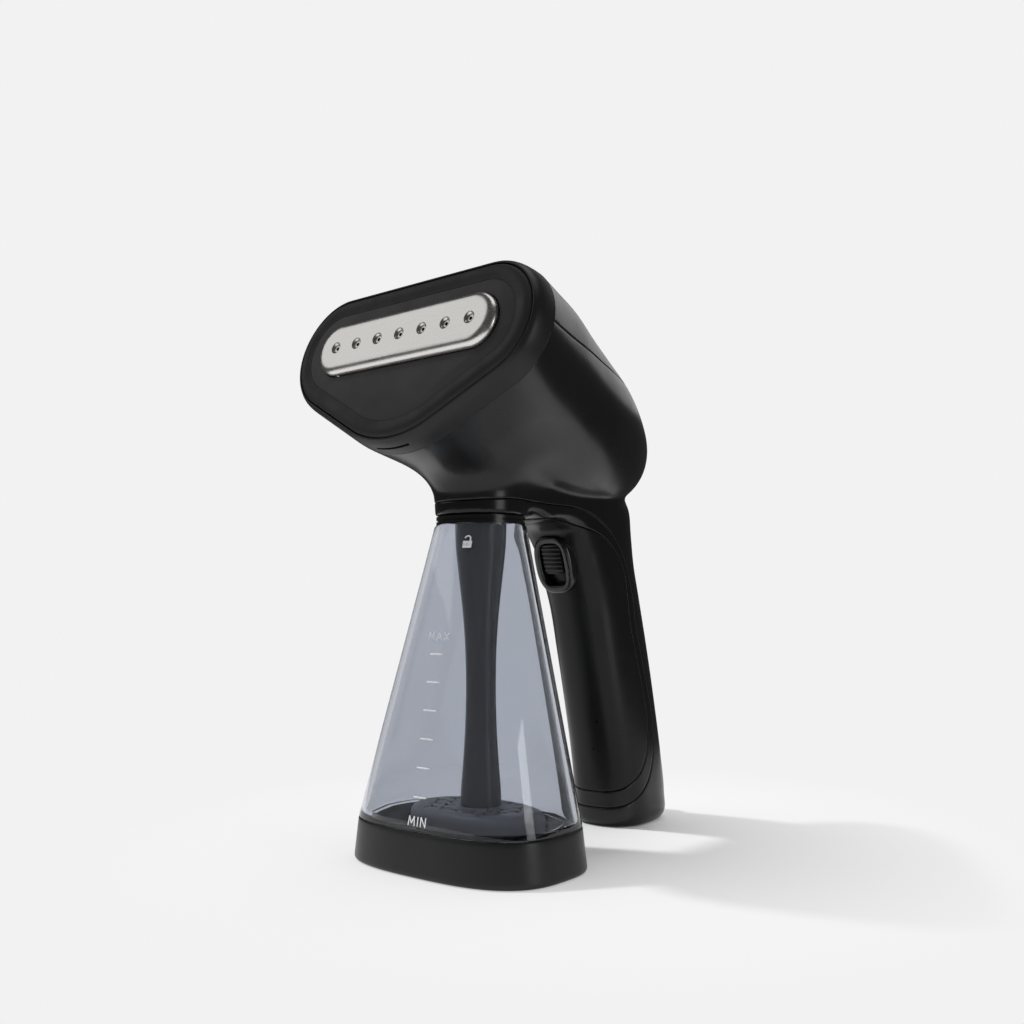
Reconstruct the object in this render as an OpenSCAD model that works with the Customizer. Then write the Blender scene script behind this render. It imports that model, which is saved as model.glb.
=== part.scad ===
// Handheld garment steamer with a pull-off water tank.
// X is left-right with X = 0 on the symmetry plane, the steam face looks towards -Y, Z = 0 is the table.
// The Z axis is the axis of the tank neck. All lengths are in mm.

/* [Steam head] */
// Tilt of the steam face back from upright, in degrees
face_tilt = 15; // [8:0.2:24]
// Height of the middle of the steam plate above the table
plate_z = 213; // [205:0.2:225]
// How far the front of the steam plate stands ahead of the tank neck axis
plate_forward = 49.4; // [45:0.1:58]
// Half of the steam plate's length
plate_half_l = 49; // [44:0.1:50]
// Half of the steam plate's width
plate_half_h = 11.5; // [9:0.1:13]
// Distance between neighbouring steam holes
hole_pitch = 12.5; // [11:0.1:13.5]
// Diameter of a steam hole
hole_d = 3.6; // [2.5:0.1:4.5]
// Number of steam holes
hole_count = 7; // [5:1:7]
// Width of the soft ring around the face
ring_w = 6.8; // [5:0.1:8]
// Depth of the front bezel from the lip to the seam
bezel_depth = 14; // [12:0.1:18]
// Wall of the head and handle shells
shell_wall = 2.4; // [1.8:0.1:3]

/* [Tank] */
// Half width of the tank base
base_half_w = 50.6; // [48:0.1:54]
// Half depth of the tank base
base_half_d = 32.8; // [31:0.1:36]
// How far the base centre lies ahead of the neck axis
base_forward = 8.4; // [6:0.1:10]
// Height of the tank base
base_h = 17.4; // [14:0.1:22]
// Roundness exponent of the tank base outline, 2 is an ellipse
base_n = 2.9; // [2:0.05:4]
// Height of the tank mouth above the table
mouth_z = 139; // [137:0.1:144]
// Outer radius of the tank mouth
mouth_r = 19.5; // [18:0.1:21]
// Wall of the clear tank
tank_wall = 2.5; // [1.8:0.1:3]
// Height of the neck's lower edge above the table
neck_z = 142.6; // [141:0.1:150]

/* [Handle] */
// Half width of the handle
grip_half_w = 18.8; // [17:0.1:22]
// Height of the middle of the slide switch above the table
switch_z = 124.4; // [120:0.5:130]
// Half width of the switch frame
switch_half_w = 10.5; // [9:0.1:12]
// Half height of the switch frame
switch_half_h = 14; // [13:0.1:17]
// Travel of the slide switch
switch_travel = 5; // [4:0.1:6]

/* [Hidden] */
$fn = 64;
pts = 40;
side_pts = 14;
foot_pts = 8;
gap = 0.15;
thin = 0.02;

// Circles whose common outline is the face: centre x, centre height in the face, radius
face_circles = [[39.8, 0, 24], [-39.8, 0, 24], [0, 2.3, 45]];
bezel_swell = 3.4;
face_mid = -9.35;
face_half_h = 33.35 + bezel_swell;
face_half_w = 63.8 + bezel_swell;

// Head stations: y, z, half height, half width, tilt, share of ellipse in the outline
seam_y = -plate_forward + bezel_depth * cos(face_tilt) + face_mid * sin(face_tilt);
seam_z = plate_z - bezel_depth * sin(face_tilt) + face_mid * cos(face_tilt);
head_stations = [
    [seam_y, seam_z, face_half_h, face_half_w, face_tilt, 0],
    [-20, 197.5, 38.8, 61.6, 12, 0.12],
    [0, 195.7, 39.9, 56.5, 8, 0.35],
    [20, 193, 40, 51.3, 4, 0.65],
    [40, 189.5, 39, 47, 0, 0.9],
    [60, 185.5, 35.5, 41.5, 0, 1],
    [76, 181, 31, 35, 0, 1],
    [89, 178, 25, 28, 0, 1],
    [98.5, 176.5, 18.5, 20.5, 0, 1],
    [105, 176, 11.5, 13, 0, 1],
    [108.5, 176, 4, 5, 0, 1],
];

// Neck stations: height above the neck edge, radius
neck_stations = [[0, mouth_r], [9.4, 20.2], [12.4, 20.9], [15.4, 22.6], [18.4, 25.6], [20.9, 29.5], [23.4, 34]];

// Handle and bridge stations: front point (y, z), back point (y, z), half width, roundness exponent
handle_stations = [
    [[82.5, 0], [124.5, 0], grip_half_w - 1.8, 2.5],
    [[81, 3], [127, 3], grip_half_w - 0.2, 2.5],
    [[80, 12], [127.3, 12], grip_half_w, 2.5],
    [[77.5, 31], [124.5, 31], grip_half_w, 2.5],
    [[72.5, 56], [119.3, 57], grip_half_w, 2.5],
    [[66.5, 82], [113, 84], grip_half_w, 2.5],
    [[60.3, 106], [106.4, 109], grip_half_w, 2.5],
    [[54.5, 121], [101.2, 126], grip_half_w + 0.1, 2.7],
    [[51, 130], [98.2, 141], grip_half_w + 0.2, 3],
    [[46.5, 137.2], [95, 152], grip_half_w + 0.3, 3.6],
    [[39, 140.6], [80, 162], grip_half_w + 0.3, 4.5],
    [[29, 141.4], [48, 166], grip_half_w + 0.3, 5.5],
    [[22.4, 141.2], [23, 166], grip_half_w + 0.3, 6],
    [[20.4, neck_z], [20.4, 166], grip_half_w + 0.3, 6],
    [[0, neck_z], [0, 166], grip_half_w + 0.3, 6],
];

// Seam between the main shell and the side trim, and between the side trim and the grip panel, as y, z
upper_seam = [[-60, 146.4], [-22, 148], [0, 149.2], [22, 148.6], [45, 148], [55, 146.3], [65, 142.2], [75, 134.5],
    [83, 124.5], [88.5, 111], [91, 97], [95.4, 81.8], [101, 65], [105.5, 48], [105.5, 35], [101, 22], [90, 12],
    [80, 9], [60, 9]];
lower_seam = [[20, 142.2], [28.5, 142.5], [46, 140.7], [59, 138.2], [68, 134.5], [76, 128.2], [81.6, 120.2],
    [84, 109.4], [86, 97], [90.4, 81.8], [96, 65], [100, 48], [99.8, 36.5], [95, 26], [85.5, 18.6], [71, 15.6],
    [60, 15.6]];
side_reach = 80;
// The cover seam falls from front to back, as y, z
top_seam = [[-80, 212], [160, 197]];

// Tank neck parts
spigot_r = 15;
key_r = 16.6;
ring_r = 17.2;
ring_bore = 15.3;
ring_z0 = neck_z + 0.9;
ring_h = 7.5;
port_z = ring_z0 + ring_h + 0.4;

// Tank column
column_top_z = mouth_z - 1.2;
column_stations = [[24, 8.3], [34, 7.8], [50, 6.8], [72, 6.3], [92, 6.9], [112, 8.6], [128, 10.2],
    [column_top_z, 11]];
filter_half_w = 31;
filter_half_d = 19.4;
filter_y = -2.5;
filter_z = 13.6;
filter_h = 9;

// Cord inlet at the back of the handle foot
cord_y = 119;
cord_z = 16;
cord_r = 5.5;

// Steam chamber, distances behind the plate's front surface
plate_t = 3.4;
gasket_t = 1.4;
chamber_t = 15;
chamber_l = 46;
chamber_h = 13;
pump_front = 80;
pump_l = 42;
pump_r = 13.5;
hose_r = 3;
hose_bore = 1.8;

// Point of a superellipse at angle t
function super_point(a, b, n, t) =
    [a * sign(cos(t)) * pow(abs(cos(t)), 2 / n), b * sign(sin(t)) * pow(abs(sin(t)), 2 / n)];
function super_ring(a, b, n) = [for (i = [0 : pts - 1]) super_point(a, b, n, 360 * i / pts)];
// Point of an ellipse where its normal has angle t
function ellipse_point(a, b, t) = [a * a * cos(t), b * b * sin(t)] / norm([a * cos(t), b * sin(t)]);
// Angle below horizontal of the normal where the side circles hand over to the bottom circle
drop = face_circles[0] - face_circles[2];
handover = acos(-drop[2] / norm([drop[0], drop[1]])) - atan2(drop[1], drop[0]);
// Every outline point as circle number and angle of its normal
face_normals = concat(
    [for (i = [0 : side_pts]) [0, -handover + i * (90 + handover) / side_pts]],
    [for (i = [0 : side_pts]) [1, 90 + i * (90 + handover) / side_pts]],
    [for (i = [0 : foot_pts]) [2, 180 + handover + i * (180 - 2 * handover) / foot_pts]]);
// Point of the face outline, grown by e
function face_point(e, n) = let (c = face_circles[n[0]])
    [c[0] + (c[2] + e) * cos(n[1]), c[1] + (c[2] + e) * sin(n[1])];
function face_ring(e) = [for (n = face_normals) face_point(e, n)];
// A ring of 2-D points raised to height z
function lift(ring, z) = [for (p = ring) [p[0], p[1], z]];
function shift(ring, y) = [for (p = ring) [p[0], p[1] + y]];
function mix(a, b, k) = [for (i = [0 : len(a) - 1]) a[i] * (1 - k) + b[i] * k];

// Head section, shrunk by the inset, as 3-D points
function head_point(s, inset, n) = let (
    swell = [face_half_w, face_half_h],
    f = face_point(bezel_swell, n) - [0, face_mid],
    e = ellipse_point(s[3] - inset, s[2] - inset, n[1]),
    g = [f[0] / swell[0] * (s[3] - inset), f[1] / swell[1] * (s[2] - inset)],
    p = g * (1 - s[5]) + e * s[5]
) [p[0], s[0] + p[1] * sin(s[4]), s[1] + p[1] * cos(s[4])];
function head_section(s, inset) = [for (n = face_normals) head_point(s, inset, n)];
// Handle section between a front and a back point, shrunk by the inset, as 3-D points
function handle_section(s, inset) = let (
    mid = (s[0] + s[1]) / 2,
    half = (s[1] - s[0]) / 2,
    depth = half * (1 - inset / norm(half))
) [for (p = super_ring(s[2] - inset, 1, s[3])) [p[0], mid[0] + depth[0] * p[1], mid[1] + depth[1] * p[1]]];

// Closed solid through a stack of rings, with flat ends
module loft(rings) {
    n = len(rings[0]);
    m = len(rings);
    polyhedron(
        points = [for (r = rings) each r],
        faces = concat(
            [[for (i = [0 : n - 1]) i]],
            [for (j = [0 : m - 2]) for (i = [0 : n - 1]) each [
                [j * n + i, (j + 1) * n + i, (j + 1) * n + (i + 1) % n],
                [j * n + i, (j + 1) * n + (i + 1) % n, j * n + (i + 1) % n]]],
            [[for (i = [n - 1 : -1 : 0]) (m - 1) * n + i]]));
}

// Closed frame through a stack of rings whose last ring joins the first
module frame(rings) {
    n = len(rings[0]);
    m = len(rings);
    polyhedron(
        points = [for (r = rings) each r],
        faces = [for (j = [0 : m - 1]) for (i = [0 : n - 1]) each [
            [j * n + i, ((j + 1) % m) * n + i, ((j + 1) % m) * n + (i + 1) % n],
            [j * n + i, ((j + 1) % m) * n + (i + 1) % n, j * n + (i + 1) % n]]]);
}

// Convex skin around two neighbouring sections
module span(a, b) {
    n = len(a);
    hull() polyhedron(points = concat(a, b), faces = [[for (i = [0 : n - 1]) i], [for (i = [2 * n - 1 : -1 : n]) i]]);
}

// Local frame of the steam face: x to the side, y up in the face, z out of the face
module face_frame() {
    translate([0, -plate_forward, plate_z]) rotate([90 - face_tilt, 0, 0]) children();
}

// Local frame of the slide switch: x to the side, y up along the handle, z out of the handle
switch_y = 54;
switch_lean = 17;
// How far the switch frame stands out of that plane
switch_proud = 4.2;
module switch_frame() {
    translate([0, switch_y, switch_z]) rotate([90 + switch_lean, 0, 0]) children();
}

module oblong(half_l, half_h, h) {
    linear_extrude(h) {
        square([2 * (half_l - half_h), 2 * half_h], center = true);
        for (side = [-1, 1]) translate([side * (half_l - half_h), 0]) circle(half_h);
    }
}

module upright_oblong(half_w, half_h, h) {
    rotate([0, 0, 90]) oblong(half_h, half_w, h);
}

// Outer form of head, neck, bridge and handle, shrunk by the inset
module body_form(inset) {
    last = len(head_stations) - 1;
    for (j = [0 : last - 1])
        span(head_section(head_stations[j], min(inset, head_stations[j][2] / 2)),
            head_section(head_stations[j + 1], min(inset, head_stations[j + 1][2] / 2)));
    for (j = [0 : len(neck_stations) - 2])
        hull() {
            translate([0, 0, neck_z + neck_stations[j][0]]) cylinder(r = neck_stations[j][1] - inset, h = thin);
            translate([0, 0, neck_z + neck_stations[j + 1][0]])
                cylinder(r = neck_stations[j + 1][1] - inset, h = thin);
        }
    for (j = [0 : len(handle_stations) - 2])
        span(handle_section(handle_stations[j], inset), handle_section(handle_stations[j + 1], inset));
}

// Everything in front of the given distance behind the steam plate is left out
module behind_bezel(d) {
    face_frame() translate([-100, -300, -300 - d]) cube([200, 500, 300]);
}

module side_prism(profile) {
    rotate([90, 0, 90]) translate([0, 0, -side_reach]) linear_extrude(2 * side_reach) polygon(profile);
}

// Hollow shell of the whole body
module body_shell() {
    difference() {
        body_form(0);
        difference() {
            body_form(shell_wall);
            translate([-side_reach, 60, -1]) cube([2 * side_reach, 100, shell_wall + 1]);
        }
        // the neck is open below
        translate([0, 0, neck_z - 1]) cylinder(r = ring_r + 0.3, h = 13);
    }
}

module main_shell() {
    color("#141416")
    difference() {
        intersection() {
            body_shell();
            side_prism(concat(upper_seam, [[60, -5], [160, -5]], [top_seam[1] - [0, gap], top_seam[0] - [0, gap]]));
            behind_bezel(bezel_depth + gap);
        }
        translate([0, cord_y, cord_z]) rotate([-90, 0, 0]) cylinder(r = cord_r + 0.05, h = 20);
    }
}

module top_cover() {
    color("#17171a")
    intersection() {
        body_shell();
        side_prism([top_seam[0] + [0, gap], top_seam[1] + [0, gap], [160, 260], [-80, 260]]);
        behind_bezel(bezel_depth + gap);
    }
}

module side_trim() {
    color("#1b1b1e")
    intersection() {
        body_shell();
        side_prism(concat(upper_seam, [for (i = [len(lower_seam) - 1 : -1 : 0]) lower_seam[i]],
            [[20, 136], [-60, 136]]));
    }
}

module grip_panel() {
    color("#161618")
    difference() {
        intersection() {
            body_shell();
            side_prism(concat(lower_seam, [[20, 15.6]]));
        }
        switch_frame() {
            translate([0, 0, -14]) upright_oblong(switch_half_w - 1.6, switch_half_h - 1.6, 20);
            translate([0, 0, -0.05]) upright_oblong(switch_half_w + 0.1, switch_half_h + 0.1, 20);
        }
    }
}

module front_bezel() {
    color("#18181a")
    face_frame()
        frame([
            lift(face_ring(bezel_swell), -bezel_depth),
            lift(face_ring(3), -9),
            lift(face_ring(2.3), -6),
            lift(face_ring(1.4), -4.3),
            lift(face_ring(0.3), -4.3),
            lift(face_ring(0.3), -9),
            lift(face_ring(-9), -9),
            lift(face_ring(-9), -11),
            lift(face_ring(1), -11),
            lift(face_ring(1), -bezel_depth)]);
}

module face_pad() {
    color("#101012")
    face_frame()
        frame([
            lift(face_ring(0), -9),
            lift(face_ring(0), -5),
            lift(face_ring(-0.6), -4),
            lift(face_ring(-1.8), -3.2),
            lift(face_ring(-3.4), -2.9),
            lift(face_ring(-5), -3.2),
            lift(face_ring(-6.1), -3.9),
            lift(face_ring(gap - ring_w), -4.6),
            lift(face_ring(gap - ring_w), -9)]);
}

panel_front = 3.6;

module face_panel() {
    color("#3a3a3d")
    face_frame()
        difference() {
            translate([0, 0, -9]) linear_extrude(9 - panel_front) polygon(face_ring(-ring_w));
            translate([0, 0, -9.5]) linear_extrude(9.5 - panel_front - 1.8) polygon(face_ring(-ring_w - 2));
            translate([0, 0, -10]) oblong(plate_half_l + 0.3, plate_half_h + 0.3, 12);
        }
}

plate_round = 3.3;

// Half of the plate's cross section, with its rounded front edge
module plate_profile() {
    square([plate_half_h - plate_round, plate_t]);
    square([plate_half_h, plate_t - plate_round]);
    translate([plate_half_h - plate_round, plate_t - plate_round])
        intersection() {
            circle(plate_round);
            square(plate_round + 1);
        }
}

module steam_plate() {
    color("#c9cacb")
    face_frame()
        difference() {
            translate([0, 0, -plate_t]) union() {
                for (side = [-1, 1])
                    translate([side * (plate_half_l - plate_half_h), 0, 0])
                        rotate_extrude() plate_profile();
                translate([-(plate_half_l - plate_half_h), 0, 0]) rotate([90, 0, 90])
                    linear_extrude(2 * (plate_half_l - plate_half_h)) {
                        plate_profile();
                        mirror([1, 0]) plate_profile();
                    }
            }
            for (i = [0 : hole_count - 1])
                translate([(i - (hole_count - 1) / 2) * hole_pitch, 0, 0]) {
                    translate([0, 0, -plate_t - 1]) cylinder(d = hole_d, h = plate_t + 2);
                    translate([0, 0, -0.7]) cylinder(d1 = hole_d, d2 = hole_d + 1.8, h = 0.8);
                }
        }
}

module chamber_gasket() {
    color("#b5483a")
    face_frame() translate([0, 0, -plate_t - gasket_t])
        difference() {
            oblong(chamber_l, chamber_h - 2.5, gasket_t);
            translate([0, 0, -1]) oblong(chamber_l - 3, chamber_h - 5.5, gasket_t + 2);
        }
}

chamber_front = plate_t + gasket_t;
chamber_back = chamber_front + chamber_t;

module steam_chamber() {
    color("#9a9ca0")
    face_frame()
        difference() {
            union() {
                translate([0, 0, -chamber_back]) oblong(chamber_l, chamber_h - 2.2, chamber_t);
                translate([0, 0, -chamber_back - 6]) cylinder(r = 3.6, h = 7);
            }
            // the room where the water flashes to steam, open to the plate
            translate([0, 0, -chamber_front - 8]) oblong(chamber_l - 4, chamber_h - 6, 9);
            // water inlet
            translate([0, 0, -chamber_back - 7]) cylinder(r = 1.5, h = 20);
        }
}

module heating_element() {
    color("#6f6a66")
    face_frame() translate([0, 0, -chamber_back - 3.4]) {
        for (side = [-1, 1])
            translate([-22, side * 7, 0]) rotate([0, 90, 0]) cylinder(r = 3.2, h = 54);
        translate([-22, 0, 0]) rotate([0, 0, 90]) rotate_extrude(angle = 180) translate([7, 0]) circle(3.2);
        for (side = [-1, 1])
            translate([32, side * 7, 0]) rotate([0, 90, 0]) cylinder(r = 1.2, h = 7);
    }
}

module thermostat() {
    color("#d8d2c4")
    face_frame() translate([-39, 0, -chamber_back - 6]) {
        cylinder(r = 6, h = 6);
        translate([0, 0, -4]) cylinder(r = 4.4, h = 4);
    }
}

module thermal_fuse() {
    color("#e6e0d2")
    face_frame() translate([42.5, -6, -chamber_back - 2.4]) rotate([-90, 0, 0]) cylinder(r = 2.3, h = 12);
}

module inlet_port() {
    color("#2c2c2f")
    difference() {
        union() {
            translate([0, 0, port_z]) cylinder(r = ring_r + 0.25, h = 2.4);
            translate([0, 0, port_z + 2]) cylinder(r = 4, h = 8);
            translate([0, 0, port_z - 6]) cylinder(r = 3, h = 7);
        }
        translate([0, 0, port_z - 7]) cylinder(r = hose_bore, h = 20);
    }
}

// Route of the inlet hose: straight up from the port, round a bend, then straight on to the pump
bend_r = 14;
port_drop = 8;
hose_pts = 16;
pump_port_y = -plate_forward + pump_front * cos(face_tilt) - port_drop * sin(face_tilt);
pump_port_z = plate_z - pump_front * sin(face_tilt) - port_drop * cos(face_tilt);
tail_l = (pump_port_y - bend_r * (1 + sin(face_tilt))) / cos(face_tilt);
bend_z = pump_port_z - bend_r * cos(face_tilt) + tail_l * sin(face_tilt);
// Hose ring around the point y, z, where the hose has turned by angle a from straight up
function hose_ring(y, z, a, r) = [for (i = [0 : hose_pts - 1]) let (t = 360 * i / hose_pts)
    [r * cos(t), y + r * sin(t) * cos(a), z - r * sin(t) * sin(a)]];
function hose_rings(r) = concat(
    [hose_ring(0, port_z + 10, 0, r)],
    [for (a = [0 : 15 : 90 + face_tilt]) hose_ring(bend_r * (1 - cos(a)), bend_z + bend_r * sin(a), a, r)],
    [hose_ring(pump_port_y, pump_port_z, 90 + face_tilt, r)]);

module inlet_hose() {
    color("#d9d9d2")
    frame(concat(hose_rings(hose_r), [for (i = [len(hose_rings(0)) - 1 : -1 : 0]) hose_rings(hose_bore)[i]]));
}

module steam_hose() {
    color("#d9d9d2")
    face_frame() translate([0, 0, -pump_front])
        difference() {
            cylinder(r = hose_r, h = pump_front - chamber_back - 6);
            translate([0, 0, -1]) cylinder(r = hose_bore, h = pump_front);
        }
}

module water_pump() {
    color("#27323d")
    face_frame() translate([0, 0, -pump_front - pump_l])
        union() {
            cylinder(r = pump_r, h = pump_l);
            translate([0, 0, -5]) cylinder(r = 6, h = 5);
            translate([-8, -pump_r - 1, 8]) cube([16, 4, 20]);
        }
}

module control_board() {
    color("#1f5a34")
    translate([0, 98, 92]) rotate([14.5, 0, 0]) union() {
        translate([-12, 0, -30]) cube([24, 1.6, 60]);
        translate([-8, -7, -20]) cube([16, 7, 14]);
        translate([-9, -5, 6]) cube([7, 5, 12]);
        translate([3, -9, 4]) cube([6, 9, 18]);
    }
}

module terminal_block() {
    color("#d9d6cc")
    translate([-9, 103, 26]) cube([18, 12, 12]);
}

module cord_inlet() {
    color("#202023")
    translate([0, cord_y, cord_z]) rotate([-90, 0, 0])
        difference() {
            union() {
                cylinder(r = cord_r + 2, h = 3.6);
                translate([0, 0, 3]) cylinder(r = cord_r, h = 9.5);
            }
            translate([0, 0, -1]) cylinder(r = cord_r - 2.3, h = 20);
        }
}

module tank_shell() {
    color("#8f9cab", 0.5)
    loft(concat(
        [tank_ring(0, 3.2, 3.2, true), tank_ring(0, base_h, 3.2, true), tank_ring(0, base_h, 0, false)],
        [for (k = [0.125 : 0.125 : 1]) tank_ring(k, 0, 0, false)],
        [for (k = [1 : -0.125 : 0.125]) tank_ring(k, 0, tank_wall, false)],
        [tank_ring(0, base_h, 3.2 + tank_wall, true), tank_ring(0, 3.2 + tank_wall, 3.2 + tank_wall, true)]));
}

// Outline of the tank at share k of the way from base top to mouth, drawn in by the inset
function tank_ring(k, z, inset, below) = let (
    foot = shift(super_ring(base_half_w * 0.96 - inset, base_half_d * 0.96 - inset, base_n), -base_forward),
    mouth = super_ring(mouth_r - inset, mouth_r - inset, 2)
) below ? lift(foot, z) : lift(mix(foot, mouth, k), base_h + k * (mouth_z - base_h));

module tank_base() {
    color("#141416")
    loft([
        lift(base_ring(-1.2, 1), 0),
        lift(base_ring(0, 1), 1.2),
        lift(base_ring(0, 0.96), base_h),
        lift(base_ring(-3, 0.96), base_h),
        lift(base_ring(-3, 0.96), 3.2)]);
}

function base_ring(grow, k) = shift(super_ring(base_half_w * k + grow, base_half_d * k + grow, base_n), -base_forward);

module tank_cap() {
    color("#131315")
    difference() {
        union() {
            translate([0, 0, mouth_z]) cylinder(r = mouth_r - 0.5, h = 1.1);
            translate([0, 0, mouth_z + 1.1]) cylinder(r = mouth_r - 1.2, h = 0.9);
            translate([0, 0, mouth_z + 2]) cylinder(r = mouth_r - 0.5, h = 1.3);
            translate([0, 0, mouth_z - 1.2]) cylinder(r = mouth_r - tank_wall - 0.8, h = 1.2);
            translate([0, 0, mouth_z + 3]) cylinder(r = spigot_r, h = ring_z0 + ring_h - mouth_z - 4);
            for (a = [0, 120, 240])
                rotate([0, 0, a]) translate([0, -2, ring_z0 + 1]) cube([key_r, 4, 3]);
        }
        // well for the water port
        translate([0, 0, mouth_z + 6]) cylinder(r = 5, h = 20);
        translate([0, 0, mouth_z - 6]) cylinder(r = 2.5, h = 20);
    }
}

module lock_ring() {
    color("#3b3b3f")
    difference() {
        translate([0, 0, ring_z0]) cylinder(r = ring_r, h = ring_h);
        translate([0, 0, ring_z0 - 1]) cylinder(r = ring_bore, h = ring_h + 2);
        for (a = [0, 120, 240])
            rotate([0, 0, a]) translate([10, -2.4, ring_z0 - 1]) cube([10, 4.8, 6]);
    }
}

module uptake_tube() {
    color("#2b2b33")
    rotate_extrude() polygon(concat(
        [for (s = column_stations) [s[1], s[0]]],
        [for (i = [len(column_stations) - 1 : -1 : 0]) [column_stations[i][1] - 1.8, column_stations[i][0]]]));
}

module filter_puck() {
    color("#35353d")
    difference() {
        translate([0, filter_y, filter_z]) loft([
            lift(super_ring(filter_half_w - 1, filter_half_d - 1, 2.2), -filter_h + 2),
            lift(super_ring(filter_half_w, filter_half_d, 2.2), 0),
            lift(super_ring(filter_half_w - 0.5, filter_half_d - 0.5, 2.2), filter_h - 3),
            lift(super_ring(filter_half_w - 4, filter_half_d - 4, 2.2), filter_h - 0.6)]);
        cylinder(r = 5, h = 40);
    }
}

module switch_bezel() {
    color("#0f0f10")
    switch_frame()
        difference() {
            union() {
                translate([0, 0, -3]) upright_oblong(switch_half_w - 1.7, switch_half_h - 1.7, 3.5);
                upright_oblong(switch_half_w, switch_half_h, switch_proud);
            }
            translate([0, 0, -1.5]) upright_oblong(switch_half_w - 4, switch_half_h - 4, 8);
            translate([-1.6, -6.5, -4]) cube([3.2, 13, 5]);
        }
}

module switch_slider() {
    color("#1d1d20")
    switch_frame() translate([0, switch_travel / 2, 0]) union() {
        translate([0, 0, -1]) upright_oblong(5.4, 7.2, switch_proud + 0.3);
        intersection() {
            upright_oblong(5.2, 7, switch_proud + 0.5);
            for (i = [0 : 6])
                translate([-6, -7.05 + i * 2.15, switch_proud - 1.5]) cube([12, 1.2, 3]);
        }
        translate([-1.3, -2, -5]) cube([2.6, 4, 4.5]);
    }
}

module trigger_switch() {
    color("#262628")
    switch_frame() translate([-5, -9, -16]) cube([10, 18, 9]);
}

// The sub-parts, drawn one at a time or all together
main_shell();
top_cover();
side_trim();
grip_panel();
front_bezel();
face_pad();
face_panel();
steam_plate();
chamber_gasket();
steam_chamber();
heating_element();
thermostat();
thermal_fuse();
inlet_port();
inlet_hose();
steam_hose();
water_pump();
control_board();
terminal_block();
cord_inlet();
tank_shell();
tank_base();
tank_cap();
lock_ring();
uptake_tube();
filter_puck();
switch_bezel();
switch_slider();
trigger_switch();
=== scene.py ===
# Looks of a handheld garment steamer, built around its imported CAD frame.
import math

import bpy
import numpy as np
from mathutils import Matrix, Vector


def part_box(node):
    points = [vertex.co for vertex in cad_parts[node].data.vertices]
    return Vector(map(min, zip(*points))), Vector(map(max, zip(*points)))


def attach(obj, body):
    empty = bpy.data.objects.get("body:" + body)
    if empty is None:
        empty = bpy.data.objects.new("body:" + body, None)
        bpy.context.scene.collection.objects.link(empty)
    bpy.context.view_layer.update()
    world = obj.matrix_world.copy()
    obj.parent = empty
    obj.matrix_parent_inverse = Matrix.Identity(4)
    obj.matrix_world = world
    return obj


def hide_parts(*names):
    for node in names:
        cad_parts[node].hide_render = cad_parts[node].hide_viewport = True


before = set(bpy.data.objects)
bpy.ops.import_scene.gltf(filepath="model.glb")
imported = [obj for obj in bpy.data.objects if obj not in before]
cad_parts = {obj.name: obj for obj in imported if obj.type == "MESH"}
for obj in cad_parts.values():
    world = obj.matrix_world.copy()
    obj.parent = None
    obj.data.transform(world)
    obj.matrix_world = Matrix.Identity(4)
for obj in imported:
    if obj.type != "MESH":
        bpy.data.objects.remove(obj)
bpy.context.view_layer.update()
MM = 0.001

# Driving sizes of the object, in mm, the same as in the CAD
FACE_TILT = math.radians(15)
PLATE = (0, -49.4, 213)
PLATE_HALF_L = 49
PLATE_HALF_H = 11.5
HOLE_PITCH = 12.5
BEZEL_DEPTH = 14
BEZEL_SWELL = 3.4
RING_W = 6.8
FACE_CIRCLES = ((39.8, 0, 24), (-39.8, 0, 24), (0, 2.3, 45))
FACE_MID = -9.35
FACE_HALF_W = 63.8 + BEZEL_SWELL
FACE_HALF_H = 33.35 + BEZEL_SWELL
BASE_HALF_W = 50.6
BASE_HALF_D = 32.8
BASE_Y = -8.4
BASE_H = 17.4
BASE_N = 2.9
BASE_TAPER = 0.96
MOUTH_Z = 139
MOUTH_R = 19.5
TANK_WALL = 2.5
NECK_Z = 142.6
GRIP_W = 18.8
SWITCH = (54, 124.4)
SWITCH_LEAN = 17
SWITCH_SIZE = (10.5, 14, 4.2)

# Sizes of the shells' skin, in mm: a thinner wall and a narrower gap than in the CAD
SHELL_WALL = 1.8
GAP = 0.1
MOUTH_HOLE_R = 17.9
MOUTH_HOLE_H = 3
# Stands for any place above the mouth's hole, far from its edge
FAR = 30
# Distances from a seam, and how far the skin sinks at each
EDGE_STEPS = ((GAP, 0.3), (0.34, 0.08), (0.7, 0.0))
VOXEL = 1.1
# Rounds of smoothing: the first few work on the whole skin, the rest only in front of the neck
RELAX_STEPS = 240
EVEN_STEPS = 6

# Details, in mm
PLATE_DEPTH = 3.3
PLATE_ROUND = 3.9
SLOT_HALF_W = 9
SLOT_H = 8
SLIDER_UP = 2.5
RIBS = 7
RIB_H = 0.75
COLUMN_WALL = 1.8
STAR_PITCH = 7.0
STAR_ARM = 3

# Printed marks on the tank, in mm
TICK_X = 1.1
TICK_HALF_W = 3.3
TICK_LOW = 30.4
TICK_TOP = 85.6
TICKS = 6
MAX_Z = 92.6
MIN_Z = 21.4
LETTER_SPACE = 0.42
LOCK_ICON = (9.4, 131)
INK_THICKNESS = 0.03

# Camera and floor in mm and degrees, brightness as a share of white
CAMERA_AT = (296.43, -338.21, 106.82)
CAMERA_TURN = 39.533
CAMERA_RISE = 4.822
CAMERA_ROLL = -0.226
CAMERA_LENS = 37.05
ROOM = 0.5
ROOM_IN_GLOSS = 0.05
BACKDROP = 0.888
PAPER = 0.85
FLOOR_MIDDLE = (-150, -120)
FLOOR_R = 500
FLOOR_Z = -0.05
SHADOW_MIDDLE = (0, 60)
# Distances from the shadow's middle, in metres, over which the paper fades into a painted glow of the
# backdrop's brightness, which lightens the cast shadow further from the object
FADE = (0.04, 0.21)
FADE_POWER = 0.7


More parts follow.
